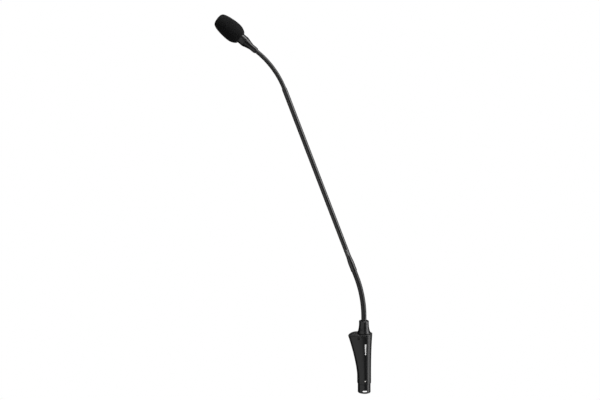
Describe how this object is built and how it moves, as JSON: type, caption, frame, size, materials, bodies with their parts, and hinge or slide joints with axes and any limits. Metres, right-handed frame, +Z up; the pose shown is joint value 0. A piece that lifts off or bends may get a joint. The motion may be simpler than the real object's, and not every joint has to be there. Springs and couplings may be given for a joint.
{
  "type": "gooseneck podium microphone",
  "caption": "Condenser microphone on a slim stem with flexible sections at both ends, foam windscreen, and a wedge-shaped plug-in preamplifier base with mute button.",
  "frame": {"origin": "centre of the plug shell's open end", "axes": "+Z up along the plug's axis; the neck bends in the XZ plane towards -X, which is also where the base's button wing points"},
  "size_m": [0.2217, 0.0276, 0.551],
  "materials": {
    "black_metal": "satin black powder coat",
    "black_plastic": "matt moulded",
    "flex_black": "satin black, finely ribbed",
    "cable_jacket": "matt",
    "foam": "open-cell foam",
    "gold_plate": "polished gold plate",
    "bright_steel": "nickel plated",
    "brass": "turned",
    "circuit_board": "solder resist",
    "pale_plastic": "matt moulded",
    "red_lens": "clear red lens"
  },
  "bodies": {
    "base": {"xlr_shell": "black_metal", "xlr_insulator": "black_plastic", "xlr_pin_1": "gold_plate", "xlr_pin_2": "gold_plate", "xlr_pin_3": "gold_plate", "xlr_set_screw": "bright_steel", "preamp_housing": "black_metal", "top_cover": "black_metal", "cover_screw_front": "black_metal", "cover_screw_back": "black_metal", "mute_switch": "black_plastic", "switch_board": "circuit_board", "status_led": "pale_plastic", "led_lens": "red_lens", "preamp_board": "circuit_board", "capacitor_1": "black_plastic", "capacitor_2": "black_plastic", "amplifier_chip": "black_plastic", "gooseneck_collar": "black_metal", "gooseneck_nut": "brass", "lower_flex_base": "flex_black"},
    "mute_button": {"mute_button": "black_plastic"},
    "lower_link_1": {"lower_flex_link_1": "flex_black"},
    "lower_link_2": {"lower_flex_link_2": "flex_black"},
    "lower_link_3": {"lower_flex_link_3": "flex_black"},
    "lower_link_4": {"lower_flex_link_4": "flex_black"},
    "lower_link_5": {"lower_flex_link_5": "flex_black"},
    "lower_link_6": {"lower_flex_link_6": "flex_black"},
    "lower_link_7": {"lower_flex_link_7": "flex_black"},
    "stem": {"lower_flex_top": "flex_black", "stem_ferrule": "black_metal", "stem_tube": "black_metal", "upper_flex_base": "flex_black", "mic_cable": "cable_jacket"},
    "upper_link_1": {"upper_flex_link_1": "flex_black"},
    "upper_link_2": {"upper_flex_link_2": "flex_black"},
    "upper_link_3": {"upper_flex_link_3": "flex_black"},
    "upper_link_4": {"upper_flex_link_4": "flex_black"},
    "upper_link_5": {"upper_flex_link_5": "flex_black"},
    "upper_link_6": {"upper_flex_link_6": "flex_black"},
    "upper_link_7": {"upper_flex_link_7": "flex_black"},
    "head": {"upper_flex_top": "flex_black", "head_cone": "black_metal", "capsule_collar": "black_metal", "cartridge_can": "black_metal", "grille_ring": "brass", "grille_mesh": "bright_steel", "diaphragm_ring": "brass", "diaphragm": "gold_plate", "backplate": "brass", "backplate_holder": "pale_plastic", "cartridge_board": "circuit_board", "cartridge_transistor": "black_plastic"},
    "windscreen": {"foam_windscreen": "foam"}
  },
  "joints": [
    {"name": "mute_press", "type": "slide", "parent": "base", "child": "mute_button", "axis": [0, 0, -1], "range_m": [0, 0.0008], "stiffness_N_per_m": 1800},
    {"name": "lower_bend_1", "type": "hinge", "parent": "base", "child": "lower_link_1", "pos_m": [0, 0, 0.12136], "axis": [0.001, -1, 0.0007], "range_deg": [-16.35, 6.15], "deforming": ["mic_cable"]},
    {"name": "lower_sway_1", "type": "hinge", "parent": "lower_link_1", "child": "lower_link_2", "pos_m": [-0.00068, 0, 0.12899], "axis": [0.996, 0, 0.0889], "range_deg": [-7.5, 7.5], "deforming": ["mic_cable"]},
    {"name": "lower_bend_2", "type": "hinge", "parent": "lower_link_2", "child": "lower_link_3", "pos_m": [-0.00136, 0, 0.13662], "axis": [0.001, -1, 0.0007], "range_deg": [-16.35, 6.15], "deforming": ["mic_cable"]},
    {"name": "lower_sway_2", "type": "hinge", "parent": "lower_link_3", "child": "lower_link_4", "pos_m": [-0.00272, 0, 0.14416], "axis": [0.9842, 0, 0.1771], "range_deg": [-7.5, 7.5], "deforming": ["mic_cable"]},
    {"name": "lower_bend_3", "type": "hinge", "parent": "lower_link_4", "child": "lower_link_5", "pos_m": [-0.00407, 0, 0.1517], "axis": [0.001, -1, 0.0007], "range_deg": [-16.35, 6.15], "deforming": ["mic_cable"]},
    {"name": "lower_sway_3", "type": "hinge", "parent": "lower_link_5", "child": "lower_link_6", "pos_m": [-0.0061, 0, 0.15909], "axis": [0.9646, 0, 0.2639], "range_deg": [-7.5, 7.5], "deforming": ["mic_cable"]},
    {"name": "lower_bend_4", "type": "hinge", "parent": "lower_link_6", "child": "lower_link_7", "pos_m": [-0.00812, 0, 0.16648], "axis": [0.001, -1, 0.0007], "range_deg": [-16.35, 6.15], "deforming": ["mic_cable"]},
    {"name": "lower_sway_4", "type": "hinge", "parent": "lower_link_7", "child": "stem", "pos_m": [-0.01079, 0, 0.17365], "axis": [0.9373, 0, 0.3486], "range_deg": [-7.5, 7.5], "deforming": ["mic_cable"]},
    {"name": "upper_bend_1", "type": "hinge", "parent": "stem", "child": "upper_link_1", "pos_m": [-0.11487, 0, 0.45353], "axis": [0.001, -1, 0.0007], "range_deg": [-22.38, 7.62], "deforming": ["mic_cable"]},
    {"name": "upper_sway_1", "type": "hinge", "parent": "upper_link_1", "child": "upper_link_2", "pos_m": [-0.11862, 0, 0.46065], "axis": [0.8848, 0, 0.466], "range_deg": [-10, 10], "deforming": ["mic_cable"]},
    {"name": "upper_bend_2", "type": "hinge", "parent": "upper_link_2", "child": "upper_link_3", "pos_m": [-0.12238, 0, 0.46778], "axis": [0.001, -1, 0.0007], "range_deg": [-22.38, 7.62], "deforming": ["mic_cable"]},
    {"name": "upper_sway_2", "type": "hinge", "parent": "upper_link_3", "child": "upper_link_4", "pos_m": [-0.12702, 0, 0.47437], "axis": [0.8176, 0, 0.5757], "range_deg": [-10, 10], "deforming": ["mic_cable"]},
    {"name": "upper_bend_3", "type": "hinge", "parent": "upper_link_4", "child": "upper_link_5", "pos_m": [-0.13165, 0, 0.48096], "axis": [0.001, -1, 0.0007], "range_deg": [-22.38, 7.62], "deforming": ["mic_cable"]},
    {"name": "upper_sway_3", "type": "hinge", "parent": "upper_link_5", "child": "upper_link_6", "pos_m": [-0.1371, 0, 0.48689], "axis": [0.737, 0, 0.6759], "range_deg": [-10, 10], "deforming": ["mic_cable"]},
    {"name": "upper_bend_4", "type": "hinge", "parent": "upper_link_6", "child": "upper_link_7", "pos_m": [-0.14255, 0, 0.49283], "axis": [0.001, -1, 0.0007], "range_deg": [-22.38, 7.62], "deforming": ["mic_cable"]},
    {"name": "upper_sway_4", "type": "hinge", "parent": "upper_link_7", "child": "head", "pos_m": [-0.14871, 0, 0.49802], "axis": [0.6441, 0, 0.7649], "range_deg": [-10, 10], "deforming": ["mic_cable"]},
    {"name": "windscreen_pull", "type": "slide", "parent": "head", "child": "windscreen", "axis": [-0.7649, 0, 0.6441], "range_m": [0, 0.03]}
  ],
  "couplings": [
    {"joint": "lower_bend_2", "follows": "lower_bend_1", "ratio": 1},
    {"joint": "lower_sway_2", "follows": "lower_sway_1", "ratio": 1},
    {"joint": "lower_bend_3", "follows": "lower_bend_1", "ratio": 1},
    {"joint": "lower_sway_3", "follows": "lower_sway_1", "ratio": 1},
    {"joint": "lower_bend_4", "follows": "lower_bend_1", "ratio": 1},
    {"joint": "lower_sway_4", "follows": "lower_sway_1", "ratio": 1},
    {"joint": "upper_bend_2", "follows": "upper_bend_1", "ratio": 1},
    {"joint": "upper_sway_2", "follows": "upper_sway_1", "ratio": 1},
    {"joint": "upper_bend_3", "follows": "upper_bend_1", "ratio": 1},
    {"joint": "upper_sway_3", "follows": "upper_sway_1", "ratio": 1},
    {"joint": "upper_bend_4", "follows": "upper_bend_1", "ratio": 1},
    {"joint": "upper_sway_4", "follows": "upper_sway_1", "ratio": 1}
  ]
}
